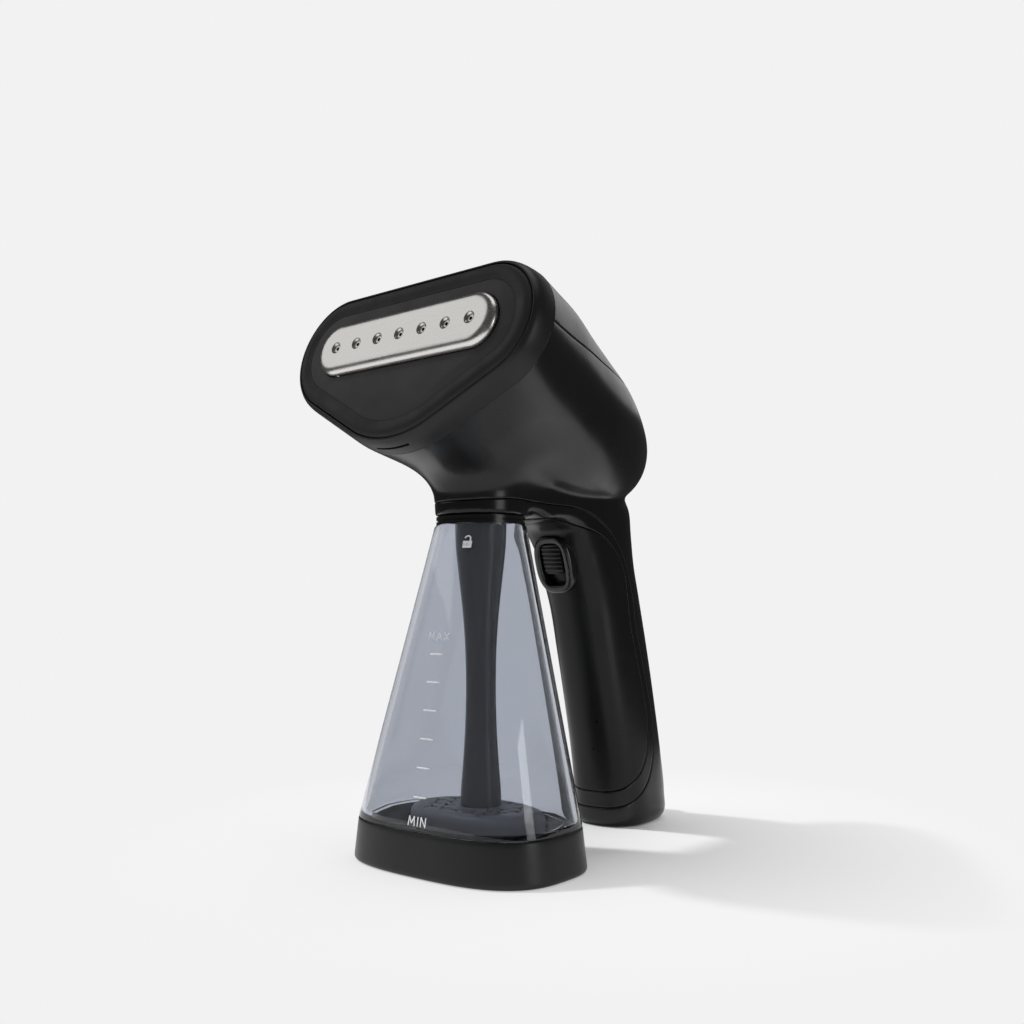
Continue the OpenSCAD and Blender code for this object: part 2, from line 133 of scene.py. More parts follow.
def seam_point():
    y = PLATE[1] + BEZEL_DEPTH * math.cos(FACE_TILT) + FACE_MID * math.sin(FACE_TILT)
    z = PLATE[2] - BEZEL_DEPTH * math.sin(FACE_TILT) + FACE_MID * math.cos(FACE_TILT)
    return y, z


SEAM_Y, SEAM_Z = seam_point()

# Head stations: y, z, half height, half width, tilt in degrees, share of ellipse in the outline
SEAM = (SEAM_Y, SEAM_Z, FACE_HALF_H, FACE_HALF_W, math.degrees(FACE_TILT), 0)
SHOULDER = (-20, 197.5, 38.8, 61.6, 12, 0.12)
# The form runs on a little ahead of the seam plane, where it is cut
AHEAD = tuple(a + 0.4 * (a - b) for a, b in zip(SEAM, SHOULDER))
HEAD = [
    AHEAD,
    SEAM,
    SHOULDER,
    (0, 195.7, 39.9, 56.5, 8, 0.35),
    (20, 193, 40, 51.3, 4, 0.65),
    (40, 189.5, 39, 47, 0, 0.9),
    (60, 185.5, 35.5, 41.5, 0, 1),
    (76, 181, 31, 35, 0, 1),
    (89, 178, 25, 28, 0, 1),
    (98.5, 176.5, 18.5, 20.5, 0, 1),
    (105, 176, 11.5, 13, 0, 1),
    (108.3, 176, 4.5, 5.2, 0, 1),
    (108.9, 176, 0, 0, 0, 1),
]

# Neck stations: height above the neck edge, radius
NECK = [(0, MOUTH_R), (5, 19.7), (9.4, 20.2), (12.4, 21), (15.4, 22.6), (18.4, 25.4), (20.9, 29), (23.4, 34)]

# Handle and bridge stations: front y, front z, back y, back z, half width, roundness exponent
HANDLE = [
    (83, 0, 124, 0, GRIP_W - 2.2, 2.5),
    (81, 2.6, 126.8, 2.6, GRIP_W - 0.3, 2.5),
    (80, 12, 127.3, 12, GRIP_W, 2.5),
    (77.5, 31, 124.5, 31, GRIP_W, 2.5),
    (72.5, 56, 119.3, 57, GRIP_W, 2.5),
    (66.5, 82, 113, 84, GRIP_W, 2.5),
    (60.3, 106, 106.4, 109, GRIP_W, 2.5),
    (54.5, 121, 101.2, 126, GRIP_W + 0.1, 2.7),
    (51, 130, 98.2, 141, GRIP_W + 0.2, 3),
    (46.5, 137.2, 95, 152, GRIP_W + 0.3, 3.6),
    (39, 140.6, 80, 162, GRIP_W + 0.3, 4.5),
    (29, 141.4, 48, 166, GRIP_W + 0.3, 5.5),
    (22.4, 141.6, 23, 166, GRIP_W + 0.3, 6),
    (20, NECK_Z, 20, 166, GRIP_W + 0.3, 6),
    (0, NECK_Z, 0, 166, GRIP_W + 0.3, 6),
]

# Seams as (y, z): main shell over side trim, side trim over grip panel, and the cover's lower edge
UPPER_SEAM = [(-60, 146.4), (-22, 148), (0, 149.2), (22, 148.6), (45, 148), (55, 146.3), (65, 142.2),
              (75, 134.5), (83, 124.5), (88.5, 111), (91, 97), (95.4, 81.8), (101, 65), (105.5, 48),
              (105.5, 35), (101, 22), (90, 12), (80, 9), (60, 9)]
LOWER_SEAM = [(20, 142.2), (28.5, 142.5), (46, 140.7), (59, 138.2), (68, 134.5), (76, 128.2),
              (81.6, 120.2), (84, 109.4), (86, 97), (90.4, 81.8), (96, 65), (100, 48), (99.8, 36.5),
              (95, 26), (85.5, 18.6), (71, 15.6), (60, 15.6)]
TOP_SEAM = ((-80, 212), (160, 197))

# Tank column stations: height, radius
COLUMN = [(22, 8.5), (28, 8.3), (36, 7.7), (50, 6.8), (66, 6.3), (80, 6.4), (92, 6.9), (104, 7.9),
          (114, 9), (122, 9.9), (129, 10.6), (MOUTH_Z - 1.3, 11)]


# ---------------------------------------------------------------- curves and meshes

def spline(keys, rows, at):
    """Smooth curve through rows of numbers at increasing keys, read at the places in at."""
    k = np.asarray(keys, float)
    v = np.asarray(rows, float)
    h = np.diff(k)
    slope = np.diff(v, axis=0) / h[:, None]
    tangent = np.empty_like(v)
    tangent[0] = slope[0]
    tangent[-1] = slope[-1]
    weight = (h[1:] / (h[1:] + h[:-1]))[:, None]
    tangent[1:-1] = slope[:-1] * weight + slope[1:] * (1 - weight)
    at = np.asarray(at, float)
    i = np.clip(np.searchsorted(k, at, side="right") - 1, 0, len(k) - 2)
    t = ((at - k[i]) / h[i])[:, None]
    a = 2 * t ** 3 - 3 * t ** 2 + 1
    b = (t ** 3 - 2 * t ** 2 + t) * h[i][:, None]
    c = 3 * t ** 2 - 2 * t ** 3
    d = (t ** 3 - t ** 2) * h[i][:, None]
    return a * v[i] + b * tangent[i] + c * v[i + 1] + d * tangent[i + 1]


def smooth_rows(rows, along, count):
    """Rows resampled at even steps of the length measured in the columns along."""
    rows = np.asarray(rows, float)
    step = np.linalg.norm(np.diff(rows[:, along], axis=0), axis=1)
    keys = np.concatenate([[0], np.cumsum(step)])
    return spline(keys, rows, np.linspace(0, keys[-1], count))


def super_ring(a, b, n, count):
    t = np.linspace(0, 2 * math.pi, count, endpoint=False)
    x = a * np.sign(np.cos(t)) * np.abs(np.cos(t)) ** (2 / n)
    y = b * np.sign(np.sin(t)) * np.abs(np.sin(t)) ** (2 / n)
    return np.stack([x, y], 1)


def face_normals(side, foot):
    """The face outline's points, as circle number and angle of the normal."""
    drop = np.subtract(FACE_CIRCLES[0], FACE_CIRCLES[2])
    reach = math.hypot(drop[0], drop[1])
    handover = math.acos(-drop[2] / reach) - math.atan2(drop[1], drop[0])
    right = [(0, a) for a in np.linspace(-handover, math.pi / 2, side)]
    left = [(1, a) for a in np.linspace(math.pi / 2, math.pi + handover, side)]
    below = [(2, a) for a in np.linspace(math.pi + handover, 2 * math.pi - handover, foot)]
    return right + left + below


FACE_NORMALS = face_normals(60, 34)


def face_ring(grow):
    """The face outline, grown outwards, as points across and up the face."""
    points = []
    for circle, angle in FACE_NORMALS:
        x, y, r = FACE_CIRCLES[circle]
        points.append((x + (r + grow) * math.cos(angle), y + (r + grow) * math.sin(angle)))
    return np.array(points)


def on_face(points, out):
    """Points across and up the steam face, set that far out of it, in the frame's axes."""
    points = np.asarray(points, float)
    x, up = points[:, 0], points[:, 1]
    y = PLATE[1] + up * math.sin(FACE_TILT) - out * math.cos(FACE_TILT)
    z = PLATE[2] + up * math.cos(FACE_TILT) + out * math.sin(FACE_TILT)
    return np.stack([x, y, z], 1)


def flat_ring(ring, z):
    return np.column_stack([ring, np.full(len(ring), float(z))])


def grid_faces(rings, n, closed=False):
    """Quads between rings of n points; closed joins the last ring to the first."""
    faces = []
    for j in range(rings if closed else rings - 1):
        k = (j + 1) % rings
        for i in range(n):
            m = (i + 1) % n
            faces.append((j * n + i, j * n + m, k * n + m, k * n + i))
    return faces


def new_piece(name, points, faces, smooth=True):
    mesh = bpy.data.meshes.new(name)
    mesh.from_pydata((np.asarray(points, float) * MM).tolist(), [], [tuple(map(int, f)) for f in faces])
    mesh.validate()
    mesh.update()
    piece = bpy.data.objects.new(name, mesh)
    bpy.context.scene.collection.objects.link(piece)
    if smooth:
        mesh.polygons.foreach_set("use_smooth", [True] * len(mesh.polygons))
    return piece


def loft(name, rings):
    """Closed solid through rings of points, with flat ends."""
    n = len(rings[0])
    faces = grid_faces(len(rings), n)
    faces.append(tuple(range(n - 1, -1, -1)))
    faces.append(tuple((len(rings) - 1) * n + i for i in range(n)))
    return new_piece(name, np.concatenate(rings), faces)


def ring_frame(name, rings):
    """Closed frame through rings of points whose last ring joins the first."""
    return new_piece(name, np.concatenate(rings), grid_faces(len(rings), len(rings[0]), True))


def revolve(name, profile, count, closed=False):
    """Solid of revolution about the neck axis through (radius, height) points."""
    rings = [flat_ring(super_ring(r, r, 2, count), z) for r, z in profile]
    return ring_frame(name, rings) if closed else loft(name, rings)


def rounded(corners, radius, steps=5):
    """A closed profile with each corner rounded; radius is one number or one for each corner."""
    corners = np.asarray(corners, float)
    count = len(corners)
    radii = [radius] * count if np.isscalar(radius) else radius
    points = []
    for i in range(count):
        here = corners[i]
        before = corners[i - 1] - here
        after = corners[(i + 1) % count] - here
        lb, la = np.linalg.norm(before), np.linalg.norm(after)
        half = math.acos(np.clip(np.dot(before, after) / (lb * la), -1, 1)) / 2
        reach = min(radii[i] / math.tan(half), 0.49 * lb, 0.49 * la)
        a, b = here + before / lb * reach, here + after / la * reach
        for t in np.linspace(0, 1, steps + 1):
            points.append((1 - t) ** 2 * a + 2 * t * (1 - t) * here + t ** 2 * b)
    return points


def finished(piece):
    """The piece with its modifiers applied."""
    depsgraph = bpy.context.evaluated_depsgraph_get()
    mesh = bpy.data.meshes.new_from_object(piece.evaluated_get(depsgraph))
    piece.modifiers.clear()
    old = piece.data
    piece.data = mesh
    bpy.data.meshes.remove(old)
    return piece


def joined(name, pieces):
    """One object holding the meshes of all the pieces."""
    points, faces, start = [], [], 0
    for piece in pieces:
        count = len(piece.data.vertices)
        co = np.empty(count * 3, np.float32)
        piece.data.vertices.foreach_get("co", co)
        points.append(co.reshape(-1, 3) / MM)
        faces += [tuple(v + start for v in p.vertices) for p in piece.data.polygons]
        start += count
        bpy.data.objects.remove(piece)
    return new_piece(name, np.concatenate(points), faces)


def carve(piece, cutter):
    """Takes the cutter's solid out of the piece."""
    cut = piece.modifiers.new("cut", "BOOLEAN")
    cut.operation = "DIFFERENCE"
    cut.solver = "EXACT"
    cut.object = cutter
    finished(piece)
    bpy.data.objects.remove(cutter)


def sharpen(piece, angle):
    """Smooth shading that stops at edges steeper than angle degrees."""
    piece.data.polygons.foreach_set("use_smooth", [True] * len(piece.data.polygons))
    piece.data.set_sharp_from_angle(angle=math.radians(angle))


# ---------------------------------------------------------------- camera, light and floor

def add_camera():
    data = bpy.data.cameras.new("camera")
    data.lens = CAMERA_LENS
    data.sensor_width = 36
    camera = bpy.data.objects.new("camera", data)
    turn = Matrix.Rotation(math.radians(CAMERA_TURN), 4, "Z")
    rise = Matrix.Rotation(math.radians(90 + CAMERA_RISE), 4, "X")
    roll = Matrix.Rotation(math.radians(CAMERA_ROLL), 4, "Z")
    place = Matrix.Translation(Vector(CAMERA_AT) * MM)
    camera.matrix_world = place @ turn @ rise @ roll
    bpy.context.scene.collection.objects.link(camera)
    bpy.context.scene.camera = camera


def add_area(name, where, towards, size, power):
    """A soft box that lights and shows in reflections, but isn't seen by the camera."""
    data = bpy.data.lights.new(name, "AREA")
    data.shape = "RECTANGLE"
    data.size, data.size_y = size
    data.energy = power
    light = bpy.data.objects.new(name, data)
    light.location = where
    light.rotation_euler = (Vector(towards) - Vector(where)).to_track_quat("-Z", "Y").to_euler()
    light.visible_camera = False
    bpy.context.scene.collection.objects.link(light)


def add_sun(name, direction, strength, angle):
    """Throws the shadow and stays out of reflections."""
    data = bpy.data.lights.new(name, "SUN")
    data.energy = strength
    data.angle = math.radians(angle)
    light = bpy.data.objects.new(name, data)
    light.rotation_euler = Vector(direction).to_track_quat("-Z", "Y").to_euler()
    light.visible_glossy = False
    bpy.context.scene.collection.objects.link(light)


def add_world():
    """A pale backdrop behind the object, in a dimmer room that is dimmer still in reflections."""
    world = bpy.data.worlds.new("studio")
    bpy.context.scene.world = world
    world.use_nodes = True
    nodes, links = world.node_tree.nodes, world.node_tree.links
    nodes.clear()
    out = nodes.new("ShaderNodeOutputWorld")
    path = nodes.new("ShaderNodeLightPath")

    def glow(value, strength):
        node = nodes.new("ShaderNodeBackground")
        node.inputs["Color"].default_value = (value, value, value, 1)
        node.inputs["Strength"].default_value = strength
        return node

    def mix(factor, first, second):
        node = nodes.new("ShaderNodeMixShader")
        links.new(factor, node.inputs[0])
        links.new(first.outputs[0], node.inputs[1])
        links.new(second.outputs[0], node.inputs[2])
        return node

    room = glow(1, ROOM)
    dim = glow(1, ROOM_IN_GLOSS)
    backdrop = glow(BACKDROP, 1)
    lit = mix(path.outputs["Is Glossy Ray"], room, dim)
    seen = nodes.new("ShaderNodeMath")
    seen.operation = "MAXIMUM"
    links.new(path.outputs["Is Camera Ray"], seen.inputs[0])
    links.new(path.outputs["Is Transmission Ray"], seen.inputs[1])
    links.new(mix(seen.outputs[0], lit, backdrop).outputs[0], out.inputs[0])


def add_floor():
    """A disc of paper under the object that glows with painted light towards its edge at the backdrop's
    brightness; past its edge the backdrop goes on with the same brightness.
    """
    count = 96
    radii = (100, 200, 350, FLOOR_R)
    rings = [flat_ring(super_ring(r, r, 2, count) + np.array(FLOOR_MIDDLE), FLOOR_Z) for r in radii]
    faces = grid_faces(len(rings), count) + [tuple(range(count))]
    floor = new_piece("floor", np.concatenate(rings), faces, smooth=False)
    floor.data.materials.append(paper_and_painted_glow())


# ---------------------------------------------------------------- materials

class Shader:
    """A material with one Principled shader and the usual noise nodes."""

    def __init__(self, name):
        self.material = bpy.data.materials.new(name)
        self.material.use_nodes = True
        tree = self.material.node_tree
        self.nodes, self.links = tree.nodes, tree.links
        self.shader = self.nodes["Principled BSDF"]
        self.place = self.nodes.new("ShaderNodeTexCoord")

    def set(self, **values):
        for name, value in values.items():
            self.shader.inputs[name.replace("_", " ")].default_value = value

    def noise(self, scale, detail=4, rough=0.55, stretch=(1, 1, 1)):
        mapping = self.nodes.new("ShaderNodeMapping")
        mapping.inputs["Scale"].default_value = stretch
        self.links.new(self.place.outputs["Object"], mapping.inputs["Vector"])
        node = self.nodes.new("ShaderNodeTexNoise")
        node.inputs["Scale"].default_value = scale
        node.inputs["Detail"].default_value = detail
        node.inputs["Roughness"].default_value = rough
        self.links.new(mapping.outputs["Vector"], node.inputs["Vector"])
        return node.outputs["Fac"]

    def remap(self, value, low, high, start=0.3, end=0.7):
        node = self.nodes.new("ShaderNodeMapRange")
        node.inputs["From Min"].default_value = start
        node.inputs["From Max"].default_value = end
        node.inputs["To Min"].default_value = low
        node.inputs["To Max"].default_value = high
        self.links.new(value, node.inputs["Value"])
        return node.outputs["Result"]

    def colours(self, value, *stops):
        node = self.nodes.new("ShaderNodeValToRGB")
        ramp = node.color_ramp.elements
        while len(ramp) < len(stops):
            ramp.new(0.5)
        for i, colour in enumerate(stops):
            ramp[i].position = 0.3 + 0.4 * i / (len(stops) - 1)
            ramp[i].color = (*colour, 1)
        self.links.new(value, node.inputs["Fac"])
        self.links.new(node.outputs["Color"], self.shader.inputs["Base Color"])

    def roughness(self, value, low, high):
        self.links.new(self.remap(value, low, high), self.shader.inputs["Roughness"])

    def bump(self, value, height, strength=1.0):
        node = self.nodes.new("ShaderNodeBump")
        node.inputs["Distance"].default_value = height * MM
        node.inputs["Strength"].default_value = strength
        self.links.new(value, node.inputs["Height"])
        self.links.new(node.outputs["Normal"], self.shader.inputs["Normal"])


def grey(value, blue=0.0):
    return (value, value, value * (1 + blue))


def moulded(name, value, rough, grain, height, gloss=0.35, blue=0.03):
    """Moulded plastic: fine spark texture, faint colour drift and uneven gloss."""
    s = Shader(name)
    drift = s.noise(18, 3)
    s.colours(drift, grey(value * 0.86, blue=blue), grey(value * 1.14, blue=blue))
    s.roughness(s.noise(95, 5), rough * 0.9, rough * 1.1)
    s.bump(s.noise(grain, 2, 0.6), height)
    s.set(IOR=1.5, Specular_IOR_Level=gloss)
    return s.material


def brushed_steel():
    s = Shader("steam_plate_steel")
    lines = s.noise(60, 5, 0.5, (1, 22, 22))
    s.colours(lines, (0.80, 0.79, 0.765), (0.87, 0.86, 0.835))
    s.roughness(lines, 0.24, 0.36)
    s.bump(lines, 0.006, 0.4)
    s.set(Metallic=1.0)
    return s.material


def smoked_glass():
    s = Shader("tank_smoke")
    s.colours(s.noise(9, 2), (0.625, 0.65, 0.70), (0.645, 0.67, 0.72))
    s.roughness(s.noise(30, 3), 0.01, 0.03)
    s.set(Transmission_Weight=1.0, IOR=1.46)
    return s.material


def white_ink():
    s = Shader("white_ink")
    s.colours(s.noise(700, 4), (0.62, 0.62, 0.63), (0.86, 0.86, 0.87))
    s.roughness(s.noise(300, 3), 0.4, 0.6)
    s.bump(s.noise(2500, 2), 0.01)
    return s.material


def pale_ink():
    s = Shader("pale_ink")
    s.colours(s.noise(700, 4), (0.50, 0.52, 0.56), (0.62, 0.64, 0.68))
    s.roughness(s.noise(300, 3), 0.5, 0.7)
    s.bump(s.noise(2500, 2), 0.01)
    return s.material


def paper_and_painted_glow():
    """Matt paper near the object that shades off, away from it, into a painted glow of the backdrop's own
    brightness; the glow lightens the far part of the cast shadow.
    """
    s = Shader("backdrop_paper_glow")
    s.colours(s.noise(3, 2), grey(PAPER * 0.995), grey(PAPER * 1.005))
    s.set(Roughness=1.0, Specular_IOR_Level=0.0)
    middle = s.nodes.new("ShaderNodeVectorMath")
    middle.operation = "DISTANCE"
    middle.inputs[1].default_value = Vector((*SHADOW_MIDDLE, 0)) * MM
    s.links.new(s.place.outputs["Object"], middle.inputs[0])
    # Painted light: an emission at the backdrop's brightness that takes over from the paper away from the
    # object and lightens the cast shadow there
    glow = s.nodes.new("ShaderNodeEmission")
    glow.inputs["Color"].default_value = (BACKDROP, BACKDROP, BACKDROP, 1)
    fade = s.nodes.new("ShaderNodeMixShader")
    near = s.remap(middle.outputs["Value"], 0, 1, *FADE)
    eased = s.nodes.new("ShaderNodeMath")
    eased.operation = "POWER"
    eased.inputs[1].default_value = FADE_POWER
    s.links.new(near, eased.inputs[0])
    s.links.new(eased.outputs[0], fade.inputs[0])
    s.links.new(s.shader.outputs[0], fade.inputs[1])
    s.links.new(glow.outputs[0], fade.inputs[2])
    s.links.new(fade.outputs[0], s.nodes["Material Output"].inputs["Surface"])
    return s.material


def soft_rubber(name, value):
    s = Shader(name)
    blue = 0.02
    s.colours(s.noise(40, 4), grey(value * 0.85, blue=blue), grey(value * 1.15, blue=blue))
    s.roughness(s.noise(120, 4), 0.55, 0.68)
    s.bump(s.noise(2600, 2, 0.7), 0.02)
    s.set(IOR=1.45)
    return s.material


def cast_metal(name, value):
    s = Shader(name)
    s.colours(s.noise(220, 5), grey(value * 0.8), grey(value * 1.15))
    s.roughness(s.noise(160, 4), 0.4, 0.6)
    s.bump(s.noise(700, 4), 0.05)
    s.set(Metallic=0.9)
    return s.material


def tinted(name, dark, light, rough, metal=0.0):
    """A plain coloured part with mottled colour, uneven gloss and a fine grain."""
    s = Shader(name)
    s.colours(s.noise(150, 5), dark, light)
    s.roughness(s.noise(110, 4), rough * 0.85, rough * 1.15)
    s.bump(s.noise(1800, 2), 0.015)
    s.set(Metallic=metal)
    return s.material


SHELL_BLACK = moulded("shell_black", 0.0075, 0.25, 2600, 0.004)
COVER_BLACK = moulded("cover_black", 0.0075, 0.27, 2600, 0.004)
TRIM_BLACK = moulded("trim_black", 0.007, 0.22, 2600, 0.004, 0.3)
GRIP_BLACK = moulded("grip_black", 0.0075, 0.3, 2600, 0.006, 0.24)
BEZEL_BLACK = moulded("bezel_black", 0.009, 0.42, 2400, 0.008)
PAD_BLACK = soft_rubber("pad_black", 0.011)
PANEL_GREY = moulded("panel_grey", 0.021, 0.55, 2200, 0.01)
BASE_BLACK = moulded("base_black", 0.009, 0.36, 2400, 0.006)
CAP_BLACK = moulded("cap_black", 0.008, 0.22, 2400, 0.004)
RING_GREY = moulded("ring_grey", 0.03, 0.45, 2400, 0.008)
COLUMN_SMOKE = moulded("column_smoke", 0.017, 0.3, 2000, 0.004, blue=0.25)
FILTER_GREY = moulded("filter_grey", 0.12, 0.45, 1800, 0.02, blue=0.15)
SWITCH_BLACK = moulded("switch_black", 0.006, 0.2, 2400, 0.004, 0.6)
SLIDER_BLACK = moulded("slider_black", 0.01, 0.34, 2400, 0.01, 0.5)
STEEL = brushed_steel()
GLASS = smoked_glass()
INK = white_ink()
PALE_INK = pale_ink()

CAD_MATERIALS = {
    "chamber_gasket": tinted("gasket_red", (0.36, 0.06, 0.04), (0.5, 0.09, 0.06), 0.6),
    "steam_chamber": cast_metal("chamber_alloy", 0.5),
    "heating_element": tinted("heater_sheath", (0.16, 0.14, 0.12), (0.3, 0.26, 0.22), 0.45, 0.9),
    "thermostat": tinted("ceramic", (0.72, 0.69, 0.62), (0.8, 0.77, 0.7), 0.35),
    "thermal_fuse": tinted("fuse_sleeve", (0.66, 0.62, 0.54), (0.8, 0.76, 0.68), 0.5),
    "inlet_port": moulded("port_grey", 0.03, 0.4, 2200, 0.008),
    "inlet_hose": tinted("silicone_inlet", (0.62, 0.62, 0.58), (0.74, 0.74, 0.7), 0.5),
    "steam_hose": tinted("silicone_steam", (0.62, 0.62, 0.58), (0.74, 0.74, 0.7), 0.5),
    "water_pump": moulded("pump_blue", 0.03, 0.4, 2200, 0.008, blue=0.9),
    "control_board": tinted("board_green", (0.01, 0.09, 0.03), (0.03, 0.15, 0.05), 0.35),
    "terminal_block": tinted("nylon_white", (0.66, 0.64, 0.58), (0.76, 0.74, 0.68), 0.45),
    "trigger_switch": tinted("switch_nylon", (0.06, 0.06, 0.065), (0.09, 0.09, 0.095), 0.45),
    "cord_inlet": soft_rubber("cord_rubber", 0.012),
    "tank_cap": CAP_BLACK,
    "lock_ring": RING_GREY,
}


def dress_cad_nodes():
    for name, material in CAD_MATERIALS.items():
        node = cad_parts[name]
        node.data.materials.clear()
        node.data.materials.append(material)


def place(piece, body, material, slot, *nodes):
    """Gives a piece its material, the body it rides on and the CAD nodes it stands for."""
    piece.data.materials.clear()
    piece.data.materials.append(material)
    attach(piece, body)
    if nodes:
        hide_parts(*nodes)


# ---------------------------------------------------------------- body shells

def head_section(row):
    """Outline of the head at a station, between the face's outline and an ellipse."""
    y, z, half_h, half_w, tilt, share = row
    tilt = math.radians(tilt)
    across, up = [], []
    outline = face_ring(BEZEL_SWELL) - np.array([0, FACE_MID])
    for (_, angle), point in zip(FACE_NORMALS, outline):
        c, s = math.cos(angle), math.sin(angle)
        size = math.hypot(half_w * c, half_h * s) + 1e-9
        ex, ey = half_w ** 2 * c / size, half_h ** 2 * s / size
        across.append(point[0] / FACE_HALF_W * half_w * (1 - share) + ex * share)
        up.append(point[1] / FACE_HALF_H * half_h * (1 - share) + ey * share)
    up = np.array(up)
    return np.stack([across, y + up * math.sin(tilt), z + up * math.cos(tilt)], 1)


def head_form():
    rows = smooth_rows(HEAD, [0, 2], 110)
    rows[-1, 2:4] = 0.05
    return loft("head_form", [head_section(row) for row in rows][::-1])


def neck_form():
    rows = smooth_rows(NECK, [0, 1], 40)
    return revolve("neck_form", [(r, NECK_Z + h) for h, r in rows], 120)


def handle_form():
    rings = []
    for fy, fz, by, bz, half_w, n in smooth_rows(HANDLE, [0, 1, 2, 3], 150):
        ring = super_ring(half_w, 1, n, 96)
        mid, half = np.array([fy + by, fz + bz]) / 2, np.array([by - fy, bz - fz]) / 2
        rings.append(np.column_stack([ring[:, 0], mid + ring[:, 1:] * half]))
    return loft("handle_form", rings)


def body_surface():
    """Head, neck, bridge and handle melted into one smooth skin: points in mm and triangles."""
    form = joined("body_form", [head_form(), neck_form(), handle_form()])
    remesh = form.modifiers.new("melt", "REMESH")
    remesh.mode = "VOXEL"
    remesh.voxel_size = VOXEL * MM
    finished(form)
    mesh = form.data
    co = np.empty(len(mesh.vertices) * 3, np.float32)
    mesh.vertices.foreach_get("co", co)
    points = co.reshape(-1, 3).astype(float) / MM
    edges = np.empty(len(mesh.edges) * 2, np.int64)
    mesh.edges.foreach_get("vertices", edges)
    points = relax(points, edges.reshape(-1, 2))
    mesh.calc_loop_triangles()
    faces = np.empty(len(mesh.loop_triangles) * 3, np.int64)
    mesh.loop_triangles.foreach_get("vertices", faces)
    bpy.data.objects.remove(form)
    return points, faces.reshape(-1, 3)


def relax(points, edges):
    """Evens the skin a little everywhere and fills the hollow between neck and head."""
    count = np.bincount(edges.ravel(), minlength=len(points)).astype(float)
    radius = np.hypot(points[:, 0], points[:, 1])
    # The fill fades out behind the neck, below and above these heights, and away from the neck's axis
    front = np.clip((26 - points[:, 1]) / 34, 0, 1)
    low = np.clip((points[:, 2] - 152) / 5, 0, 1) * np.clip((186 - points[:, 2]) / 14, 0, 1)
    near = np.clip((48 - radius) / 12, 0, 1)
    fill = front * low * near
    for step in range(RELAX_STEPS):
        total = np.zeros_like(points)
        for axis in range(3):
            a = np.bincount(edges[:, 0], points[edges[:, 1], axis], len(points))
            b = np.bincount(edges[:, 1], points[edges[:, 0], axis], len(points))
            total[:, axis] = a + b
        share = 0.5 * (np.ones(len(points)) if step < EVEN_STEPS else fill)
        points = points + (total / count[:, None] - points) * share[:, None]
    return points


def vertex_normals(points, faces):
    a, b, c = points[faces[:, 0]], points[faces[:, 1]], points[faces[:, 2]]
    flat = np.cross(b - a, c - a)
    normals = np.zeros_like(points)
    for k in range(3):
        for axis in range(3):
            normals[:, axis] += np.bincount(faces[:, k], flat[:, axis], len(points))
    return normals / np.maximum(np.linalg.norm(normals, axis=1), 1e-12)[:, None]


def cut_at_zero(table, faces, values):
    """Splits triangles where values change sign. Each row of table is a point with what it carries."""
    above = values > 0
    side = above[faces]
    mixed = (side.sum(1) % 3) != 0
    crossed, side = faces[mixed], side[mixed]
    lone = np.where((side.sum(1) == 1)[:, None], side, ~side).argmax(1)
    turned = np.take_along_axis(crossed, (lone[:, None] + np.arange(3)) % 3, 1)
    a, b, c = turned.T
    pairs = np.sort(np.concatenate([np.stack([a, b], 1), np.stack([a, c], 1)]), 1)
    unique, where = np.unique(pairs, axis=0, return_inverse=True)
    where = where.ravel() + len(table)
    v0, v1 = values[unique[:, 0]], values[unique[:, 1]]
    t = (v0 / (v0 - v1))[:, None]
    extra = table[unique[:, 0]] * (1 - t) + table[unique[:, 1]] * t
    ab, ac = where[:len(a)], where[len(a):]
    made = np.concatenate([np.stack([a, ab, ac], 1), np.stack([ab, b, c], 1), np.stack([ab, c, ac], 1)])
    return np.concatenate([table, extra]), np.concatenate([faces[~mixed], made])


def seam_curve(seam):
    return smooth_rows(seam, [0, 1], 260)


def distance_to(curve, y, z):
    best = np.full(len(y), 1e9)
    for (y0, z0), (y1, z1) in zip(curve[:-1], curve[1:]):
        dy, dz = y1 - y0, z1 - z0
        t = np.clip(((y - y0) * dy + (z - z0) * dz) / (dy * dy + dz * dz), 0, 1)
        best = np.minimum(best, np.hypot(y - y0 - t * dy, z - z0 - t * dz))
    return best


def inside(outline, y, z):
    result = np.zeros(len(y), bool)
    for (y0, z0), (y1, z1) in zip(outline, np.roll(outline, -1, axis=0)):
        if z0 != z1:
            crosses = (z0 > z) != (z1 > z)
            result ^= crosses & (y < (y1 - y0) * (z - z0) / (z1 - z0) + y0)
    return result


def seam_side(seam, closing, y, z):
    """Distance to a seam, positive inside the outline that the closing points make with it."""
    curve = seam_curve(seam)
    outline = np.concatenate([curve, np.array(closing, float)])
    return distance_to(curve, y, z) * np.where(inside(outline, y, z), 1, -1)


def shell_piece(name, table, faces, columns):
    """The skin where every seam distance in columns is positive, with sunk edges and a wall."""
    for column in columns:
        for level, _ in EDGE_STEPS:
            table, faces = cut_at_zero(table, faces, table[:, column] - level)
    kept = np.ones(len(faces), bool)
    for column in columns:
        kept &= table[faces, column].mean(1) > GAP
    faces = faces[kept]
    used, faces = np.unique(faces, return_inverse=True)
    table, faces = table[used], faces.reshape(-1, 3)
    edge = table[:, columns].min(1)
    levels, depths = zip(*EDGE_STEPS)
    sink = np.interp(edge, levels, depths)
    points = table[:, :3] - table[:, 3:6] * sink[:, None]
    piece = new_piece(name, points, faces)
    wall = piece.modifiers.new("wall", "SOLIDIFY")
    wall.thickness = SHELL_WALL * MM
    wall.offset = -1
    return finished(piece)


